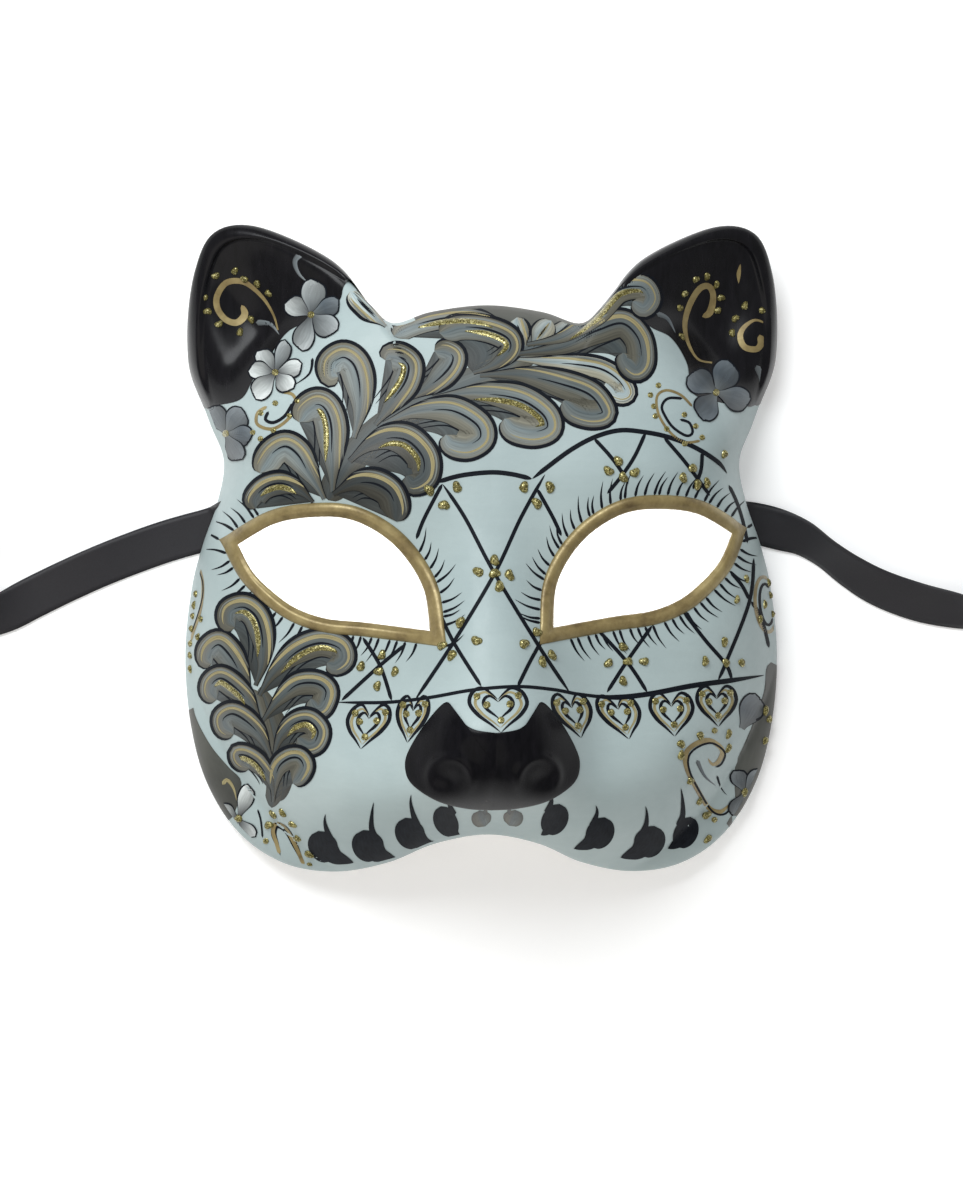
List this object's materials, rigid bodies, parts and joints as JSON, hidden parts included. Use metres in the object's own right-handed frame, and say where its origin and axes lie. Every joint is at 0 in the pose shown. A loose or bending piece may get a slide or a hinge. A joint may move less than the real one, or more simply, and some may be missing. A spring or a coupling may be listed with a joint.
{
  "type": "venetian masquerade mask",
  "caption": "Moulded cat-shaped half-mask with cupped ears, a raised nose, rimmed eye openings, beads of glitter relief and a ribbon at each temple.",
  "frame": {"origin": "on the surface that the mask lies on, under the middle of the face", "axes": "+Z out of the face, +Y towards the ears, +X towards the wearer's left"},
  "size_m": [0.444, 0.1992, 0.0855],
  "materials": {
    "shell_paint": "satin paint over papier-mache",
    "black_lacquer": "gloss black lacquer",
    "gilt": "rubbed gilt paint",
    "glitter": "gold glitter relief",
    "paint_leaf": "hand-brushed satin paint",
    "patch_cloth": "cotton tape",
    "ribbon_satin": "satin"
  },
  "bodies": {
    "root": {"face_shell": "shell_paint", "nose_cap": "black_lacquer", "eye_rim_left": "gilt", "eye_rim_right": "gilt", "ear_lining_left": "black_lacquer", "ear_lining_right": "black_lacquer", "bridge_beads": "glitter", "brow_beads": "glitter", "cheek_beads_left": "glitter", "cheek_beads_right": "glitter", "temple_beads_left": "glitter", "temple_beads_right": "glitter", "ear_beads_left": "glitter", "ear_beads_right": "glitter", "ribbon_patch_left": "patch_cloth", "ribbon_patch_right": "patch_cloth", "ribbon_left": "ribbon_satin", "ribbon_right": "ribbon_satin", "ribbon_coil_left": "ribbon_satin", "ribbon_coil_right": "ribbon_satin"}
  },
  "joints": []
}
